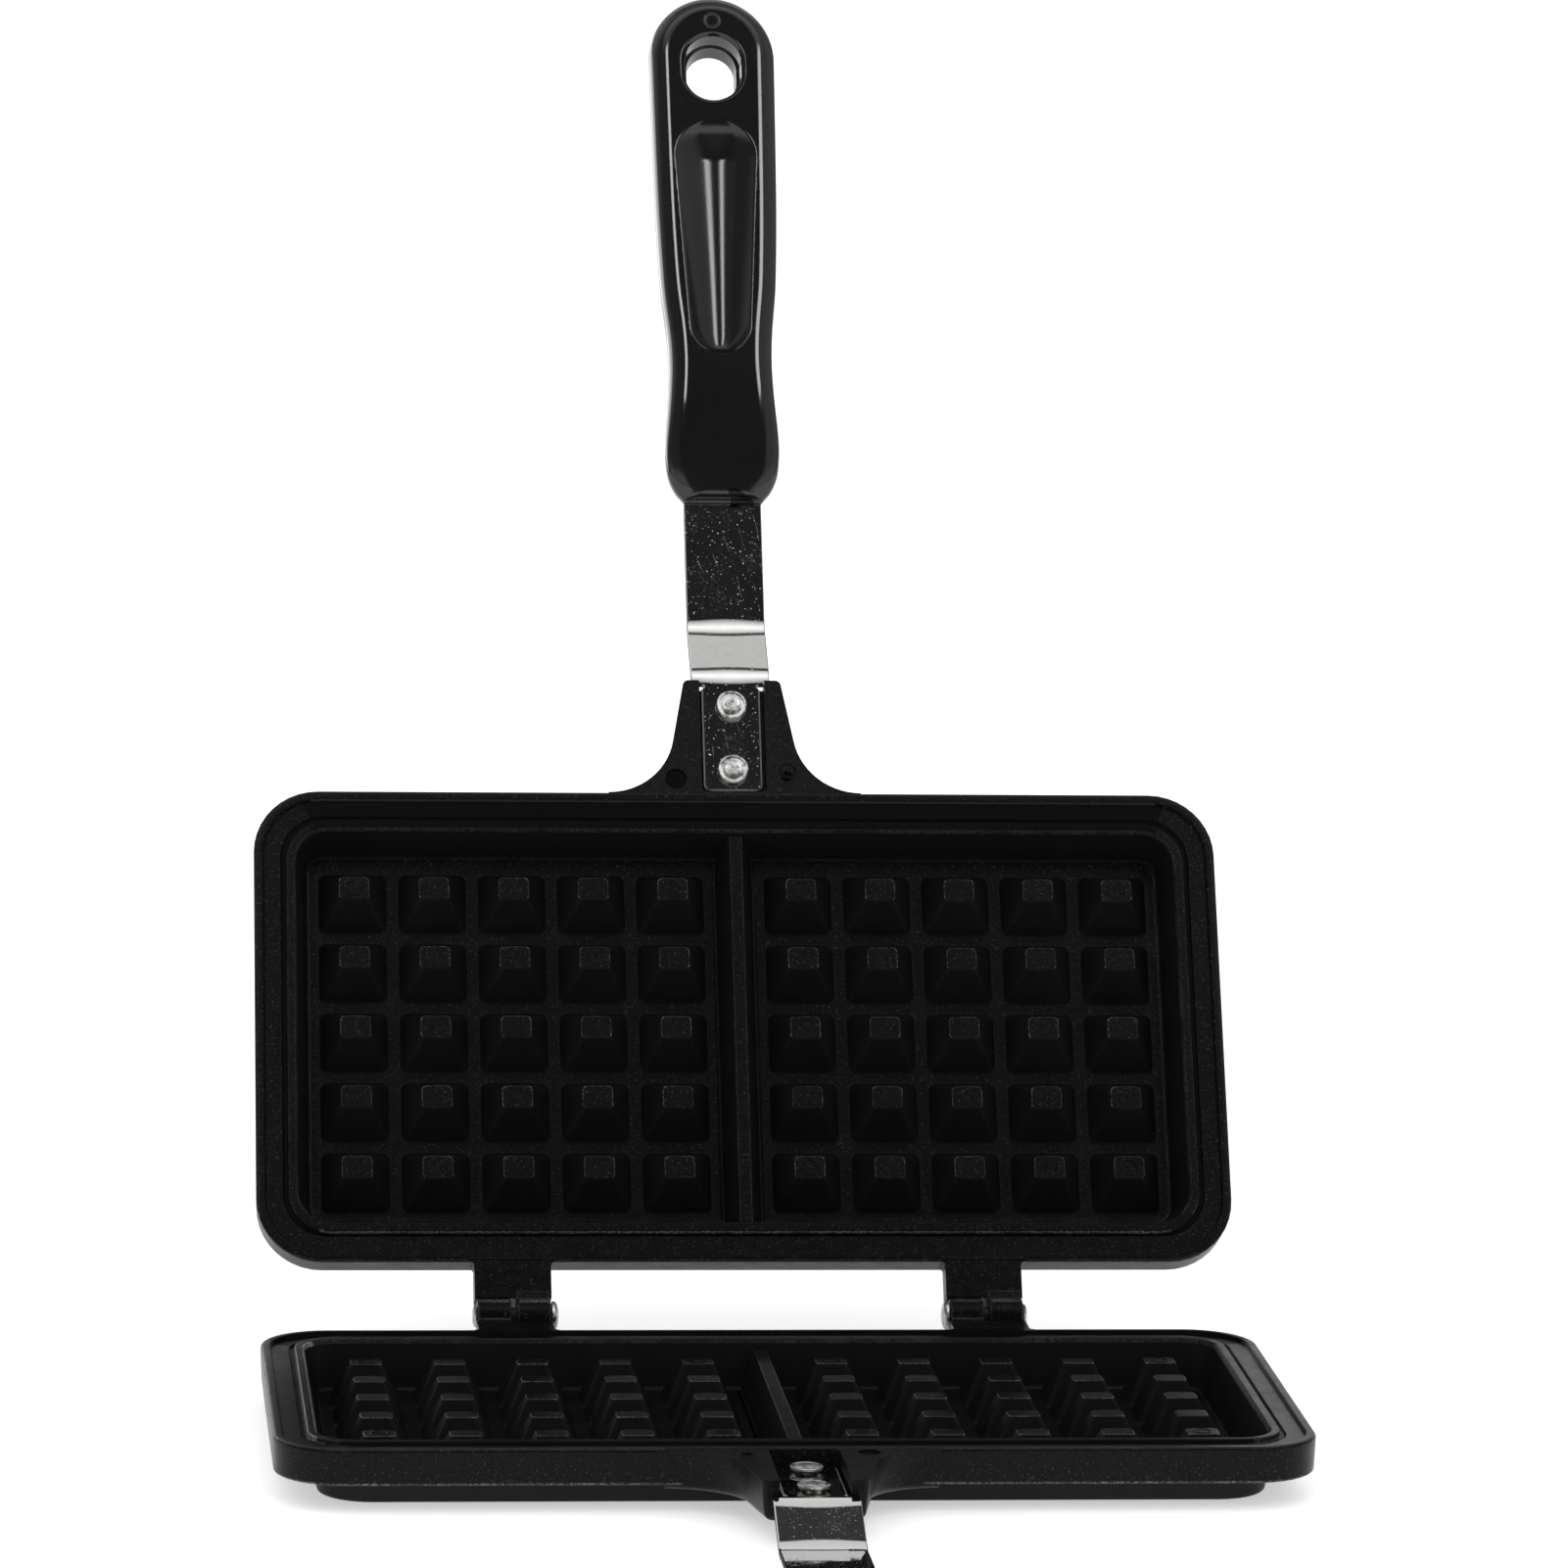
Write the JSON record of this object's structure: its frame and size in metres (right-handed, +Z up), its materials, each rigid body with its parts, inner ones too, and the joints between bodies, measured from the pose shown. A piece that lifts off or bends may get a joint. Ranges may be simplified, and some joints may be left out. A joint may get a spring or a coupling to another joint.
{
  "type": "stovetop waffle iron",
  "caption": "Hinged stovetop waffle iron standing open: twin-field cast plates, riveted steel handle straps and moulded grips with hanging holes.",
  "frame": {"origin": "on the lower plate's flat base face, which stands on the hob, under the middle of the plate's rim", "axes": "+X to the right along the hinge line, +Y from the lower grip towards the hinge, +Z up"},
  "size_m": [0.231, 0.5291, 0.3116],
  "materials": {
    "coated_casting": "black non-stick coating, satin with a fine speckle",
    "polished_steel": "polished, lightly scuffed",
    "moulded_grip": "glossy black"
  },
  "bodies": {
    "lower_half": {"lower_plate": "coated_casting", "lower_strap": "polished_steel", "lower_grip": "moulded_grip", "lower_rivet_rear": "polished_steel", "lower_rivet_front": "polished_steel", "lower_grip_screw": "polished_steel", "hinge_pin_left": "polished_steel", "hinge_pin_right": "polished_steel"},
    "upper_half": {"upper_plate": "coated_casting", "upper_strap": "polished_steel", "upper_grip": "moulded_grip", "upper_rivet_rear": "polished_steel", "upper_rivet_front": "polished_steel", "upper_grip_screw": "polished_steel"}
  },
  "joints": [
    {"name": "hinge", "type": "hinge", "parent": "lower_half", "child": "upper_half", "pos_m": [0, 0.0724, 0.0146], "axis": [1, 0, 0], "range_deg": [0, 120]}
  ]
}
